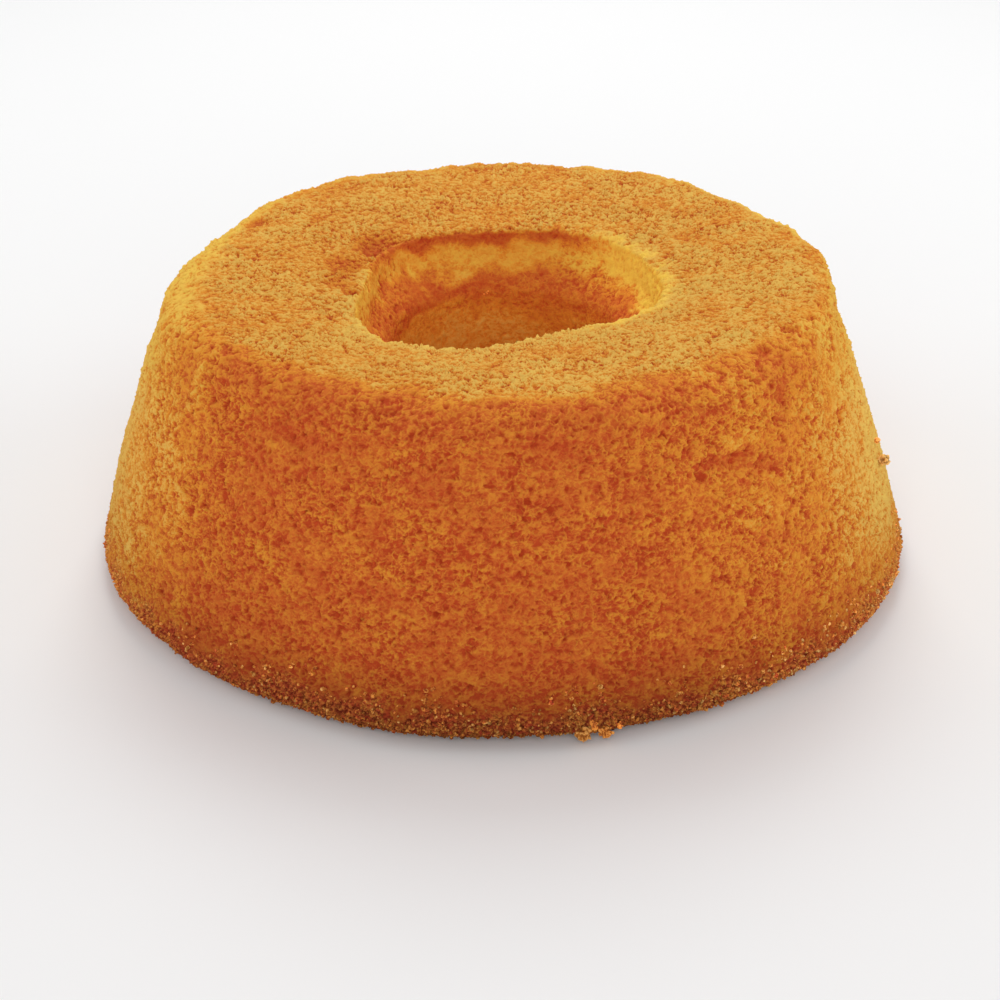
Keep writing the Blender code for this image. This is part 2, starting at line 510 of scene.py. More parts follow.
# Up the cake:
# Painted shade: the foot is darkened low down over this stretch.
FOOT_SHADE_Z = (-2, 23)
# Painted side light fades out low down over this stretch.
SIDE_FOOT_Z = (0, 26)
# Painted shade: the wall is darkened towards the bottom over this stretch.
WALL_SHADE_Z = (0, 48)
LOW_WALL_Z = (44, 8)
FOLDED_Z = (38, 64)
# Painted side light changes on the high wall over this stretch.
HIGH_SIDE_Z = (46, 70)
HIGH_WALL_Z = (48, 66)
# Up the hole:
DEEP_Z = (60, 46)
TUBE_Z = (57, 54.5)
# A strip of deeper painted shade on the left of the hole lies between these two.
SHADE_LOW_Z = (56, 57.5)
SHADE_HIGH_Z = (60.5, 58.5)
# Painted shade in the band below the flare.
BAND_Z = (64, 59)
FLARE_Z = (56, 63)
# Painted light: the hole is lightened low down over this stretch.
HOLE_LIGHT_Z = (56, 68)
LIP_Z = (66.5, 70.5)


def winding(n, place, size):
    """Thin winding ridges round open cells: 1 along a ridge and 0 between."""
    cell = n.math("ABSOLUTE", n.noise(place, size, 1.0) - 0.5)
    return n.smooth(cell, 0.10, 0.0)


def wall_texture(n, place, size):
    """The wall's open texture round 0: thin ridges above, hollows below."""
    rough = n.noise(place, size * 1.2, 2.0, 0.75) - 0.5
    ridges = winding(n, place, size) * 0.09 + winding(n, place, size * 0.55) * 0.06
    return rough * 0.55 + ridges - 0.045


def top_texture(n, place, size):
    """The fine wrinkles of the top round 0, longer from side to side and calmer in patches."""
    place = n.vector("MULTIPLY", place, (0.55, 1.0, 1.0))
    calm = n.smooth(n.noise(place, 9.0 * MM, 1.0), 0.60, 0.45, 0.65, 1.1)
    rough = n.noise(place, size, 2.0, 0.9) - 0.5
    return (rough * 0.8 + winding(n, place, size * 1.1) * 0.08 - 0.024) * calm


class Crust:
    """Relief of the crust, and its gold from browning and from painted light and shade, as fields over
    its surface, in metres and from 0 to 1.
    """

    def __init__(self, n, given):
        self.n = n
        self.given = given
        seed = given["seed"]
        self.place = n.add("GeometryNodeInputPosition")
        self.x, self.y, self.z = n.split(self.place)
        shift = n.add("ShaderNodeCombineXYZ", {}, {0: seed, 1: seed, 2: seed})
        self.where = n.vector("ADD", self.place, shift)
        low_cells = n.vector("MULTIPLY", self.where, (1.0, 1.0, 1.25))
        self.warped = n.warp(low_cells, 1.6 * MM, 0.7 * MM)
        self.along = read(n, "along")
        edge = self.along + self.uneven(4.0 * MM, 3.0) * 0.5
        soft = n.over(self.x, SOFT_RIM_X, 0.0, 0.15)
        self.hole = n.smooth(edge, MOUTH - 0.05 - soft, MOUTH + 0.25)
        self.top = self.top_mask()
        self.foot = self.foot_mask()
        self.wall = (1.0 - self.top) * (1.0 - self.hole)
        self.rim = n.smooth(self.along, MOUTH - 0.12, MOUTH) * n.smooth(self.along, LIP, MOUTH + 0.3)
        self.pitted_hole = self.hole * n.over(self.x, PITTED_HOLE_X)
        self.pits, self.rims = self.make_cells(given["pit_spacing"])
        self.marks = self.make_marks()
        # Painted side light on the wall's left and right.
        self.side = self.side_gold()

    def uneven(self, size, detail=2.0, rough=0.5):
        """Slow noise round 0."""
        return self.n.noise(self.where, size, detail, rough) - 0.5

    def top_mask(self):
        edge = self.along + self.uneven(7.0 * MM, 3.0) * 0.6
        return self.n.smooth(edge, SHOULDER + 0.78, TOP_EDGE + 0.12) * (1.0 - self.hole)

    def foot_mask(self):
        height = self.z + self.uneven(9.0 * MM, 3.0) * (14.0 * MM)
        low = self.given["foot_height"]
        return self.n.smooth(height, low, low * 0.5) * (1.0 - self.hole)

    def make_cells(self, size):
        """Open cells of chance shape: how far inside a pit, and how near the thin rim round one."""
        smooth, cell = self.n.smooth, self.n.noise(self.warped, size, 1.5, 0.6)
        large = self.n.noise(self.warped, size * 1.9, 1.5, 0.7)
        pits = smooth(cell, 0.42, 0.27) + smooth(large, 0.34, 0.26)
        rims = smooth(cell, 0.41, 0.45) * smooth(cell, 0.52, 0.46)
        share = self.wall + self.top + self.hole * 0.3 + self.pitted_hole * 0.7
        return pits * share, rims * share

    def make_marks(self):
        """The placed marks: above 0 on a raised golden fold, below 0 in a dark dent."""
        n = self.n
        ragged = n.warp(self.place, 4.0 * MM, 1.8 * MM)
        total = 0.0
        for x, y, z, wide, high, strength in MARKS:
            reach = (1.0 / (wide * MM), 1.0 / (wide * MM), 1.0 / (high * MM))
            centre = (x / wide, y / wide, z / high)
            away = n.vector("DISTANCE", n.vector("MULTIPLY", ragged, reach), centre).at("Value")
            total = n.smooth(away, 1.0, 0.25, 0.0, strength) + total
        return total * (1.0 - self.hole)

    def openness(self):
        """How open the texture of the wall and the hole is here: lower in smooth patches."""
        patch = self.n.smooth(self.n.noise(self.where, 13.0 * MM), 0.38, 0.60, 0.75, 1.2)
        return patch * (self.wall + self.hole * self.n.over(self.x, OPEN_HOLE_X, 0.55, 0.9))

    def side_gold(self):
        """Painted side light: how much more golden and lighter the wall is towards its left and right
        edges, where the side lights fall, than at its front.
        """
        n, given = self.n, self.given
        level = n.vector("MULTIPLY", self.place, (1.0, 1.0, 0.0))
        side = n.split(n.vector("NORMALIZE", level))[0]
        high = n.over(self.z, HIGH_SIDE_Z)
        left = n.smooth(side, -0.62, -1.02) * given["left_gold"]
        left = left * (1.0 + high * n.smooth(side, -0.84, -1.0, -0.3, 0.3))
        right = n.smooth(side, 0.72, 1.0) * given["right_gold"] + n.smooth(side, 0.25, 0.75, 0.0, 0.20)
        right = right * (1.0 - high * 0.22)
        return (left + right) * n.over(self.z, SIDE_FOOT_Z, 0.25, 1.0)

    def hole_gold(self):
        """Gold down the hole: a lip with painted shadow at the back and a painted highlight at the
        front, a flare whose pale gold is partly its own and partly painted light where it faces up, a
        band of painted shade below it, a strip of deeper painted shade on the left, painted light on
        the right, and a tan tube.
        """
        n, x, given = self.n, self.x, self.given
        # The pale front of the lip is partly a painted highlight along the near rim edge.
        front_lip = 0.85
        ragged = self.z + self.uneven(7.0 * MM, 4.0) * (11.0 * MM)
        # Painted shadow under the lip at the back of the hole.
        back = n.over(self.y, LIP_SHADOW_Y)
        dark = n.over(x, LIP_SHADOW_RIGHT_X) * n.over(x, LIP_SHADOW_LEFT_X, 0.35, 1.0) * back
        right_hole_light = n.over(x, RIGHT_HOLE_LIGHT_X, 0.0, 0.32)
        lip = front_lip + right_hole_light - (front_lip - given["lip_gold"]) * dark
        upper = n.over(ragged, LIP_Z)
        gold = lip * upper + (given["flare_gold"] + right_hole_light) * (1.0 - upper)
        raised = n.over(x, BAND_RIGHT_X, 0.0, 1.5 * MM) + n.over(x, BAND_LEFT_X, 0.0, 3.0 * MM)
        # Painted shade in the band below the flare.
        band = n.over(ragged - raised, BAND_Z)
        gold = given["band_gold"] * band + gold * (1.0 - band)
        bowed = (x + 12.0 * MM) * (x + 12.0 * MM) * 15.0 + ragged
        # Deeper painted shade in a strip low in the band, on the left.
        shade = n.over(bowed, SHADE_LOW_Z) * n.over(bowed, SHADE_HIGH_Z)
        gold = gold - shade * n.over(x, SHADE_X, 0.0, 0.16)
        tube = n.over(bowed, TUBE_Z)
        return given["tube_gold"] * tube + gold * (1.0 - tube) + n.over(self.z, DEEP_Z, 0.0, 0.25)

    def offset(self):
        """How far each point moves out of the cake."""
        n, given = self.n, self.given
        wall = wall_texture(n, self.warped, given["wall_spacing"]) * self.openness()
        top = top_texture(n, self.warped, given["top_spacing"]) * self.top
        folds = n.over(self.z, FOLDED_Z, 1.0, 3.4) * (1.0 - self.hole) * (1.0 - self.top * 0.7)
        lumps = self.uneven(28.0 * MM, 1.0) * given["lump_height"] * 2.0
        lumps = lumps + self.uneven(9.0 * MM, 2.0) * given["lump_height"] * folds
        lumps = lumps + self.uneven(4.5 * MM, 2.0) * self.rim * given["rim_height"]
        cells = (self.pits - self.rims * 0.2) * given["pit_depth"]
        relief = wall * given["wall_height"] + top * given["top_height"]
        relief = relief - cells + self.marks * given["mark_height"]
        grains = (n.noise(self.warped, given["grain_spacing"], 2.0, 0.9) - 0.5) * given["grain_height"]
        return lumps + relief * (1.0 - self.foot) + grains * self.foot

    def gold(self):
        """How golden each point is, with painted side light, painted highlights and painted shade in
        it.
        """
        n, given = self.n, self.given
        front, back = n.over(self.y, FRONT_Y), n.over(self.y, BACK_Y)
        # Gold rises towards the top edge: partly the crust's own change towards the paler top, partly a
        # painted highlight along the shoulder.
        rising = n.smooth(self.along, TOP_EDGE - 0.42, TOP_EDGE - 0.05, 0.0, 0.20) * front
        rising = rising + n.smooth(self.along, TOP_EDGE - 1.0, TOP_EDGE - 0.3, 0.0, 0.42) * back
        low = n.over(self.z, LOW_WALL_Z, 0.0, 0.07)
        gold = (given["wall_gold"] + self.side + rising - low * front) * self.wall
        far = n.over(self.y, FAR_TOP_Y) * 0.04 + n.over(self.x, LEFT_TOP_X) * 0.03
        gold = gold + (given["top_gold"] - far) * self.top + self.hole_gold() * self.hole
        # Painted highlight along the near rim of the hole.
        gold = gold + self.rim * n.over(self.y, RIM_HIGHLIGHT_Y, 0.0, 0.25)
        streaked = n.vector("MULTIPLY", self.warped, (1.0, 1.0, 1.6))
        blotch = n.noise(streaked, 13.0 * MM, 3.0, 0.72) - 0.5
        mottled = self.uneven(3.5 * MM, 3.0) * self.hole * 0.35
        gold = gold + blotch * given["blotches"] * (1.0 - self.hole * 0.5) + mottled
        # The pits are coloured redder and darker, more so at the sides, in the pitted hole and on the
        # top: partly the crumb's own red-brown, partly painted shade of the hollows.
        pit_red_and_shade = 0.30 + self.side * 0.20 + self.pitted_hole * 0.6 + self.top * 0.15
        return gold - self.pits * pit_red_and_shade + self.rims * 0.09 + self.marks * 0.3


def numbers(*groups):
    """The single numbers of these settings groups, by name."""
    plain = [(g, p) for g in groups for p in g.bl_rna.properties if p.type in ("FLOAT", "INT")]
    return {p.identifier: getattr(g, p.identifier) for g, p in plain}


def start_tree(name, inputs, objects=()):
    """The nodes of a new geometry tree, and its inputs by name: sizes, objects and a material."""
    tree = bpy.data.node_groups.new(name, "GeometryNodeTree")
    tree.interface.new_socket("Geometry", in_out="INPUT", socket_type="NodeSocketGeometry")
    for key in inputs:
        tree.interface.new_socket(key, in_out="INPUT", socket_type="NodeSocketFloat")
    for key in objects:
        tree.interface.new_socket(key, in_out="INPUT", socket_type="NodeSocketObject")
    tree.interface.new_socket("Material", in_out="INPUT", socket_type="NodeSocketMaterial")
    tree.interface.new_socket("Geometry", in_out="OUTPUT", socket_type="NodeSocketGeometry")
    n = Nodes(tree)
    given = tree.nodes.new("NodeGroupInput")
    return n, {socket.name: Value(n, socket) for socket in given.outputs if socket.name}


def end_tree(n, geometry, material):
    geometry = n.add("GeometryNodeRealizeInstances", {}, {"Geometry": geometry})
    geometry = n.add("GeometryNodeSetMaterial", {}, {"Geometry": geometry, "Material": material})
    n.add("NodeGroupOutput", {}, {"Geometry": geometry})
    return n.tree


def read(n, name, kind="FLOAT"):
    return n.add("GeometryNodeInputNamedAttribute", {"data_type": kind}, {"Name": name}, "Attribute")


def keep(n, geometry, name, value, kind="FLOAT"):
    settings = {"data_type": kind, "domain": "POINT"}
    inputs = {"Geometry": geometry, "Name": name, "Value": value}
    return n.add("GeometryNodeStoreNamedAttribute", settings, inputs)


def painted_foot_shade(n, x, y, z):
    """Painted shade on the foot: how light its colour is kept, darkest low down at the front and less
    dark towards the left and right.
    """
    low = n.over(z, FOOT_SHADE_Z, 0.58, 0.0) * n.over(y, FRONT_Y, 0.2, 1.0)
    return 1.0 - low * n.over(x, FOOT_SHADE_LEFT_X, 0.6, 1.0) * n.over(x, FOOT_SHADE_RIGHT_X, 1.0, 0.5)


def on_floor(n, geometry, place):
    """The geometry moved to this place, and no lower than the floor."""
    place = n.vector("MAXIMUM", place, (-1.0, -1.0, 0.0))
    return n.add("GeometryNodeSetPosition", {}, {"Geometry": geometry, "Position": place})


def crust_tree(sizes):
    """Geometry nodes that dent a piece of crust, and keep what its colours need as attributes."""
    n, given = start_tree("crust", sizes)
    crust = Crust(n, given)
    x, y, z = crust.x, crust.y, crust.z
    # Painted light and shade that scales the crust's colour: darker low on the wall, at the foot and a
    # little on the top, lighter down the hole and most on its right side.
    tone = n.over(z, WALL_SHADE_Z, 0.83, 1.0) * painted_foot_shade(n, x, y, z)
    tone = tone * (1.0 - crust.top * 0.045) * (1.0 - crust.hole) * (1.0 - crust.foot * 0.08)
    painted_hole_light = n.over(z, HOLE_LIGHT_Z, 1.03, 1.0) + n.over(x, RIGHT_HOLE_LIGHT_X, 0.0, 0.12)
    masks = {
        "gold": crust.gold(),
        "tone": tone + crust.hole * painted_hole_light,
        "hole": crust.hole * n.over(z, FLARE_Z) + crust.wall * n.over(z, HIGH_WALL_Z, 0.0, 0.6),
        "foot": crust.foot,
        # The colour texture is stronger at the sides: painted light of the relief where the side lights
        # graze it.
        "open": crust.openness() * (1.0 + crust.side * 0.35),
        "top": crust.top,
    }
    geometry = given["Geometry"]
    for name, value in masks.items():
        geometry = keep(n, geometry, name, value)
    geometry = keep(n, geometry, "warped", crust.warped, "FLOAT_VECTOR")
    reach = crust.offset() * read(n, "shown")
    shift = n.vector("SCALE", read(n, "outward", "FLOAT_VECTOR"), scale=reach)
    geometry = on_floor(n, geometry, n.vector("ADD", crust.place, shift))
    return end_tree(n, geometry, given["Material"])


# ------------------------ crumbs

# Torn bits that cling to the crust: x, y, z and width in millimetres.
TORN_BITS = (
    (18.3, -101.4, 3.2, 3.2),
    (23.5, -100.4, 3.2, 3.6),
    (26.8, -99.9, 4.6, 2.2),
    (20.8, -101.4, 5.6, 2.1),
    (97.9, -25.0, 32.5, 2.5),
    (95.4, -25.0, 38.0, 1.5),
    (-4.3, 27.0, 56.4, 1.9),
)


def chance(n, low, high, seed, kind="FLOAT"):
    """A chance number or vector for each point."""
    part = "" if kind == "FLOAT_VECTOR" else "_001"
    inputs = {"Min" + part: low, "Max" + part: high, "Seed": seed}
    return n.add("FunctionNodeRandomValue", {"data_type": kind}, inputs, "Value" + part)


def crumble(n, points, size, roundness, gold, tone, given):
    """A rough lump on each point, turned and squashed its own way, all as one mesh."""
    seed = given["seed"]
    ball = n.add("GeometryNodeMeshIcoSphere", {}, {"Radius": 0.5, "Subdivisions": roundness}, "Mesh")
    full_turn = 6.28
    turn = chance(n, (0.0, 0.0, 0.0), (full_turn, full_turn, full_turn), seed, "FLOAT_VECTOR")
    squash = chance(n, (0.6, 0.6, 0.6), (1.2, 1.2, 1.2), seed + 1.0, "FLOAT_VECTOR")
    points = keep(n, points, "size", size)
    points = keep(n, points, "gold", chance(n, 0.31, 0.62, seed + 2.0) + gold)
    # Each crumb's painted shade, handed in from the foot, times a tone that differs at random.
    points = keep(n, points, "tone", chance(n, 0.64, 1.20, seed + 3.0) * tone)
    points = keep(n, points, "foot", 1.0)
    stretch = n.vector("SCALE", squash, scale=read(n, "size"))
    inputs = {"Points": points, "Instance": ball, "Rotation": turn, "Scale": stretch}
    lumps = n.add("GeometryNodeInstanceOnPoints", {}, inputs)
    lumps = n.add("GeometryNodeRealizeInstances", {}, {"Geometry": lumps})
    place = n.add("GeometryNodeInputPosition")
    lumps = keep(n, lumps, "warped", place, "FLOAT_VECTOR")
    swell = (n.noise(place, 0.9 * MM, 2.0, 0.7) - 0.5) * read(n, "size") * given["swell"]
    push = n.vector("SCALE", n.add("GeometryNodeInputNormal"), scale=swell)
    return on_floor(n, lumps, n.vector("ADD", place, push))


def foot_crumbs_tree(sizes, walls):
    """Geometry nodes that scatter crumbs over the foot of the finished walls."""
    n, given = start_tree("foot_crumbs", sizes, walls)
    joined = n.add("GeometryNodeJoinGeometry")
    settings = {"transform_space": "RELATIVE"}
    for wall in walls:
        shape = n.add("GeometryNodeObjectInfo", settings, {"Object": given[wall]}, "Geometry")
        n.feed(joined.socket.node.inputs[0], shape)
    place = n.add("GeometryNodeInputPosition")
    x, y, z = n.split(place)
    ragged = z + (n.noise(place, 10.0 * MM, 3.0) - 0.5) * (22.0 * MM)
    low = n.smooth(ragged, given["top"], 1.0 * MM) * read(n, "shown")
    low = low * n.over(x, FEW_CRUMBS_LEFT_X, 0.1, 1.0) * n.over(x, FEW_CRUMBS_RIGHT_X, 0.5, 1.0)
    inputs = {"Mesh": joined, "Density": low * given["density"] / (MM * MM), "Seed": given["seed"]}
    points = n.add("GeometryNodeDistributePointsOnFaces", {}, inputs, "Points")
    uneven = chance(n, 0.0, 1.0, given["seed"] + 4.0)
    size = n.smooth(uneven * uneven, 0.0, 1.0, given["smallest"], given["largest"], kind="LINEAR")
    # Painted side light makes the crumbs at the left and right more golden; all of them carry the
    # painted shade of the foot.
    gold = n.over(x, LIT_CRUMBS_RIGHT_X, 0.0, 0.22) + n.over(x, LIT_CRUMBS_LEFT_X, 0.0, 0.12)
    lumps = crumble(n, points, size, 1, gold, painted_foot_shade(n, x, y, z), given)
    return end_tree(n, lumps, given["Material"])


def torn_bits_tree(sizes):
    """Geometry nodes that put a rough lump on each point, as wide as the point says."""
    n, given = start_tree("torn_bits", sizes)
    points = n.add("GeometryNodeMeshToPoints", {}, {"Mesh": given["Geometry"]})
    x = n.split(n.add("GeometryNodeInputPosition"))[0]
    # Painted side light makes the torn bits on the right more golden.
    gold = n.over(x, LIT_BITS_X, 0.15, 0.40)
    lumps = crumble(n, points, read(n, "width"), 4, gold, 0.95, given)
    return end_tree(n, lumps, given["Material"])


def crumb_piece(scene, name, points, tree, values):
    """A finished piece of crumbs, grown by the tree from these points."""
    mesh = bpy.data.meshes.new(name)
    mesh.from_pydata([tuple(c * MM for c in point[:3]) for point in points], [], [])
    write(mesh, "width", "FLOAT", "value", [point[3] * MM for point in points])
    obj = bpy.data.objects.new(name, mesh)
    scene.collection.objects.link(obj)
    grow(obj, tree, {**values, "Material": crust_material(scene)})
    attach(obj, BODY)


# ------------------------ pieces of crust


def grid_faces(index):
    """Quads of a grid of vertex numbers that runs along the section and round the cake, facing out."""
    corners = (index[:-1, :-1], index[:-1, 1:], index[1:, 1:], index[1:, :-1])
    return np.stack(corners, -1).reshape(-1, 4).tolist()


def skin(name, outline, along, angle, thickness, ring):
    """A closed piece of crust: the shown surface, and a plain hidden back inside the cake."""
    points = outline.points(along, angle)
    outward = outline.outward(along, angle)
    back = points[[-1, 0]] - thickness * outward[[-1, 0]]
    points = np.concatenate([points, back])
    outward = np.concatenate([outward, outward[[-1, 0]]])
    rows, columns = points.shape[:2]
    index = np.arange(rows * columns).reshape(rows, columns)
    loop = np.concatenate([index, index[:1]])
    faces = grid_faces(np.concatenate([loop, loop[:, :1]], 1) if ring else loop)
    if not ring:
        faces += [index[::-1, 0].tolist(), index[:, -1].tolist()]
    mesh = bpy.data.meshes.new(name)
    mesh.from_pydata(points.reshape(-1, 3).tolist(), [], faces, shade_flat=False)
    shown = np.ones((rows, columns))
    shown[-2:] = 0.0
    stations = np.broadcast_to(np.concatenate([along, along[[-1, 0]]])[:, None], (rows, columns))
    write(mesh, "along", "FLOAT", "value", stations)
    write(mesh, "shown", "FLOAT", "value", shown)
    write(mesh, "outward", "FLOAT_VECTOR", "vector", outward)
    border = np.zeros((rows, columns), bool)
    border[[0, -3, -2, -1]] = True
    if not ring:
        border[:, [0, -1]] = True
    mark_sharp(mesh, border.ravel())
    obj = bpy.data.objects.new(name, mesh)
    bpy.context.scene.collection.objects.link(obj)
    return obj


def write(mesh, name, kind, field, values):
    values = np.ascontiguousarray(values, np.float32).ravel()
    mesh.attributes.new(name, kind, "POINT").data.foreach_set(field, values)


def mark_sharp(mesh, border):
    """Makes border edges sharp, so that the hidden back doesn't shade the shown face."""
    ends = np.empty(len(mesh.edges) * 2, np.int32)
    mesh.edges.foreach_get("vertices", ends)
    sharp = border[ends].reshape(-1, 2).all(1)
    mesh.attributes.new("sharp_edge", "BOOLEAN", "EDGE").data.foreach_set("value", sharp)


def grow(obj, tree, values):
    """Runs a geometry tree once on the object, and keeps the result as a plain mesh."""
    modifier = obj.modifiers.new(tree.name, "NODES")
    modifier.node_group = tree
    for item in tree.interface.items_tree:
        if item.in_out == "INPUT" and item.name in values:
            modifier[item.identifier] = values[item.name]
    graph = bpy.context.evaluated_depsgraph_get()
    solved = obj.evaluated_get(graph)
    made = bpy.data.meshes.new_from_object(solved, preserve_all_data_layers=True, depsgraph=graph)
    guide = obj.data
    obj.modifiers.clear()
    obj.data = made
    bpy.data.meshes.remove(guide)
    made.name = obj.name


def crust_piece(context, name, first, last, rows, start, turn, columns):
    """One finished piece of crust between two stations and two angles."""
    scene = context.scene
    ring = turn == 360.0
    outline = Outline(scene.cake_shape)
    angle = np.radians(start + np.linspace(0.0, turn, columns + 1))[: columns if ring else None]
    along = outline.stations(first, last, rows)
    obj = skin(name, outline, along, angle, scene.cake_mesh.thickness, ring)
    sizes = numbers(scene.cake_relief, scene.cake_baking)
    tree = bpy.data.node_groups.get("crust") or crust_tree(sizes)
    grow(obj, tree, {**sizes, "Material": crust_material(scene)})
    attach(obj, BODY)
    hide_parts(NODE)
    return obj


# ------------------------ finishes


def shader(name, roughness):
    """A new material, its nodes and its Principled shader node."""
    material = bpy.data.materials.new(name)
    material.use_nodes = True
    tree = material.node_tree
    principled = tree.nodes["Principled BSDF"]
    principled.inputs["Roughness"].default_value = roughness
    principled.inputs["Specular IOR Level"].default_value = 0.05
    return material, Nodes(tree), principled


def attribute(n, name, output="Fac"):
    settings = {"attribute_type": "GEOMETRY", "attribute_name": name}
    return n.add("ShaderNodeAttribute", settings, {}, output)


def crust_material(scene):
    """The finish of the crust, from the gold, the painted light and shade, and the masks that its
    pieces carry.
    """
    name = "crust_finish"
    if name in bpy.data.materials:
        return bpy.data.materials[name]
    material, n, principled = shader(name, 0.8)
    c = scene.cake_colours
    r, b = scene.cake_relief, scene.cake_baking
    untinted = (1.0, 1.0, 1.0)
    place = attribute(n, "warped", "Vector")
    fine = n.noise(place, 0.55 * MM, 2.0) - 0.5
    # Ridges are coloured more golden and hollows redder and darker: partly the crust's own colour,
    # partly painted shade of the hollows.
    wall = held(n, wall_texture(n, place, r.wall_spacing)) * attribute(n, "open") * b.wall_grain
    top = held(n, top_texture(n, place, r.top_spacing)) * attribute(n, "top") * b.top_grain
    crumb = n.noise(place, r.grain_spacing, 2.0, 0.8)
    grit = n.smooth(crumb, 0.40, 0.60, -1.0, 1.0) * attribute(n, "foot")
    gold = attribute(n, "gold") + wall + top + fine * 0.24 + grit * 0.16
    deeper = attribute(n, "hole") * n.smooth(gold, 0.55, 1.0)
    ramp_colour = n.vector("MULTIPLY", gold_ramp(n, gold, c), n.mix(deeper, untinted, c.hole_tint))
    ramp_colour = n.vector("MULTIPLY", ramp_colour, n.mix(attribute(n, "foot"), untinted, c.foot_tint))
    # Painted shade in the gaps between the foot's grains, where the grit darkens the colour.
    tone = attribute(n, "tone") * (1.0 + grit * 0.35)
    # The colour is scaled by the painted light and shade that the pieces carry.
    n.feed(principled.inputs["Base Color"], n.vector("SCALE", ramp_colour, scale=tone))
    bump = n.add("ShaderNodeBump", {}, {"Height": fine * 0.25 * MM, "Distance": 1.0, "Strength": 0.7})
    n.feed(principled.inputs["Normal"], bump)
    return material


def held(n, texture):
    """The texture with its highest ridges held back, so that the red and the painted shade of the
    hollows stand out more than the ridges' gold.
    """
    high = n.math("MAXIMUM", texture, 0.0)
    return texture - high * high * 4.0


def gold_ramp(n, gold, c):
    """Crust colour from how golden it is, painted light and shade included: 0 at the bottom of a pit
    and 1 on the palest ridge.
    """
    shade = n.mix(n.smooth(gold, 0.0, 1 / 3, kind="LINEAR"), c.pit, c.skin)
    shade = n.mix(n.smooth(gold, 1 / 3, 2 / 3, kind="LINEAR"), shade, c.gold)
    shade = n.mix(n.smooth(gold, 2 / 3, 1.0, kind="LINEAR"), shade, c.pale)
    return n.mix(n.smooth(gold, 1.0, 4 / 3, kind="LINEAR"), shade, c.light)


def floor_material(scene):
    material, n, principled = shader("studio_floor", 0.9)
    n.feed(principled.inputs["Base Color"], tuple(scene.cake_stage.floor_colour))
    return material


# ------------------------ operators


class CAKE_OT_wall(bpy.types.Operator):
    """Make the pitted wall of the cake, in four quarters"""

    bl_idname = "cake.wall"
    bl_label = "Crust wall"

    def execute(self, context):
        m = context.scene.cake_mesh
        for quarter, name in enumerate(QUARTERS):
            start = 90.0 * quarter - 45.0
            crust_piece(context, name, FOOT, SHOULDER, m.wall_rows, start, 90.0, m.wall_columns)
        return {"FINISHED"}


class CAKE_OT_top(bpy.types.Operator):
    """Make the wrinkled top of the cake, from its shoulder to just inside the hole, in two halves"""

    bl_idname = "cake.top"
    bl_label = "Crust top"

    def execute(self, context):
        m = context.scene.cake_mesh
        for half, name in enumerate(("top_back", "top_front")):
            start = 180.0 * half
            crust_piece(context, name, SHOULDER, TOP_END, m.top_rows, start, 180.0, m.top_columns)
        return {"FINISHED"}


class CAKE_OT_hole(bpy.types.Operator):
    """Make the wall of the hole: its pale flare and its smooth tube"""

    bl_idname = "cake.hole"
    bl_label = "Hole wall"

    def execute(self, context):
        m = context.scene.cake_mesh
        crust_piece(context, "hole_wall", TOP_END, TUBE_END, m.tube_rows, 0.0, 360.0, m.tube_columns)
        return {"FINISHED"}


class CAKE_OT_underside(bpy.types.Operator):
    """Make the underside, which stands on the floor"""

    bl_idname = "cake.underside"
    bl_label = "Underside"

    def execute(self, context):
        m = context.scene.cake_mesh
        crust_piece(context, "underside", TUBE_FOOT, FOOT, m.under_rows, 0.0, 360.0, m.under_columns)
        return {"FINISHED"}


class CAKE_OT_crumbs(bpy.types.Operator):
    """Make the crumbs of the torn foot, and the few larger bits that cling to the crust"""

    bl_idname = "cake.crumbs"
    bl_label = "Crumbs"

    def execute(self, context):
        scene = context.scene
        sizes = numbers(scene.cake_crumbs)
        walls = {name: bpy.data.objects[name] for name in QUARTERS}
        crumb_piece(scene, "foot_crumbs", (), foot_crumbs_tree(sizes, walls), {**sizes, **walls})
        crumb_piece(scene, "torn_bits", TORN_BITS, torn_bits_tree(sizes), sizes)
        return {"FINISHED"}


class CAKE_OT_stage(bpy.types.Operator):
    """Make the floor, the lights and the camera"""

    bl_idname = "cake.stage"
    bl_label = "Stage"

    def execute(self, context):
        s = context.scene.cake_stage
        middle = (CAD_LOW + CAD_HIGH) / 2
        make_floor(context.scene)
        make_world(context.scene, s.world_light)
        softbox("key_light", (0.0, 0.7, 0.9), middle, 0.6, s.key_power)
        softbox("left_light", (-0.9, 0.1, 0.35), middle, 0.6, s.side_power)
        softbox("right_light", (0.9, 0.1, 0.35), middle, 0.6, s.side_power * 1.3)
        softbox("front_light", (0.0, -1.0, 0.6), middle, 0.8, s.front_power)
        make_camera(context.scene, s)
        return {"FINISHED"}


def make_floor(scene):
    mesh = bpy.data.meshes.new("floor")
    reach = 6.0
    corners = [(-reach, -reach, 0.0), (reach, -reach, 0.0), (reach, reach, 0.0), (-reach, reach, 0.0)]
    mesh.from_pydata(corners, [], [(0, 1, 2, 3)])
    mesh.materials.append(floor_material(scene))
    floor = bpy.data.objects.new("floor", mesh)
    scene.collection.objects.link(floor)


def make_world(scene, strength):
    scene.world = bpy.data.worlds.new("studio")
    scene.world.use_nodes = True
    background = scene.world.node_tree.nodes["Background"]
    background.inputs["Color"].default_value = (1.0, 1.0, 1.0, 1.0)
    background.inputs["Strength"].default_value = strength


def softbox(name, place, aim, size, power):
    """A square area light that faces the point it aims at."""
    light = bpy.data.lights.new(name, "AREA")
    light.size = size
    light.energy = power
    obj = bpy.data.objects.new(name, light)
    obj.location = place
    obj.rotation_euler = (aim - Vector(place)).to_track_quat("-Z", "Y").to_euler()
    bpy.context.scene.collection.objects.link(obj)


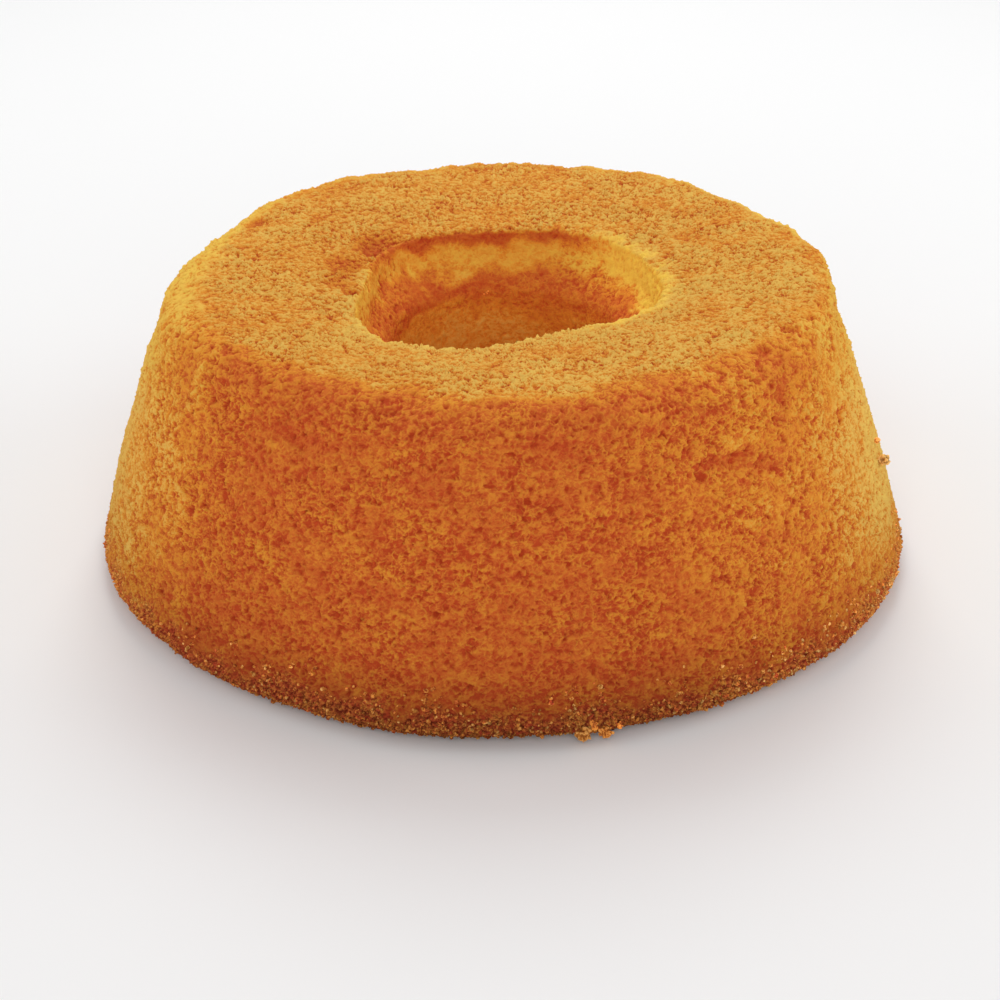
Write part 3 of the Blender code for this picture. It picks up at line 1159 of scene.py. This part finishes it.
def make_camera(scene, s):
    data = bpy.data.cameras.new("camera")
    data.sensor_width = 36.0
    data.lens = s.lens
    data.clip_start = 0.01
    camera = bpy.data.objects.new("camera", data)
    tilt = math.radians(s.camera_elevation)
    aim = Vector((-0.5 * MM, -0.5 * MM, s.camera_aim))
    camera.location = aim + s.camera_distance * Vector((0.0, -math.cos(tilt), math.sin(tilt)))
    camera.rotation_euler = Euler((math.pi / 2 - tilt, 0.0, 0.0))
    scene.collection.objects.link(camera)
    scene.camera = camera
    scene.view_settings.view_transform = "Standard"


class CAKE_PT_panel(bpy.types.Panel):
    """Lists the pieces of the cake and their settings"""

    bl_idname = "CAKE_PT_panel"
    bl_label = "Angel Food Cake"
    bl_space_type = "VIEW_3D"
    bl_region_type = "UI"
    bl_category = "Cake"

    def draw(self, context):
        for operator in OPERATORS:
            self.layout.operator(operator.bl_idname)
        for name in SETTINGS:
            box = self.layout.box()
            group = getattr(context.scene, name)
            for prop in group.bl_rna.properties:
                if prop.identifier not in ("rna_type", "name"):
                    box.prop(group, prop.identifier)


SETTINGS = {
    "cake_shape": CakeShape,
    "cake_relief": CrustRelief,
    "cake_baking": CrustGoldAndPaintedLight,
    "cake_crumbs": CrumbSettings,
    "cake_mesh": CrustMesh,
    "cake_colours": CrustColours,
    "cake_stage": StageSettings,
}
OPERATORS = (CAKE_OT_wall, CAKE_OT_top, CAKE_OT_hole, CAKE_OT_underside, CAKE_OT_crumbs, CAKE_OT_stage)
CLASSES = (*SETTINGS.values(), *OPERATORS, CAKE_PT_panel)


def register():
    for cls in CLASSES:
        bpy.utils.register_class(cls)
    for name, group in SETTINGS.items():
        setattr(bpy.types.Scene, name, bpy.props.PointerProperty(type=group))


def unregister():
    for name in SETTINGS:
        delattr(bpy.types.Scene, name)
    for cls in reversed(CLASSES):
        bpy.utils.unregister_class(cls)


def main():
    register()
    for operator in OPERATORS:
        group, name = operator.bl_idname.split(".")
        getattr(getattr(bpy.ops, group), name)()


if __name__ == "__main__":
    main()
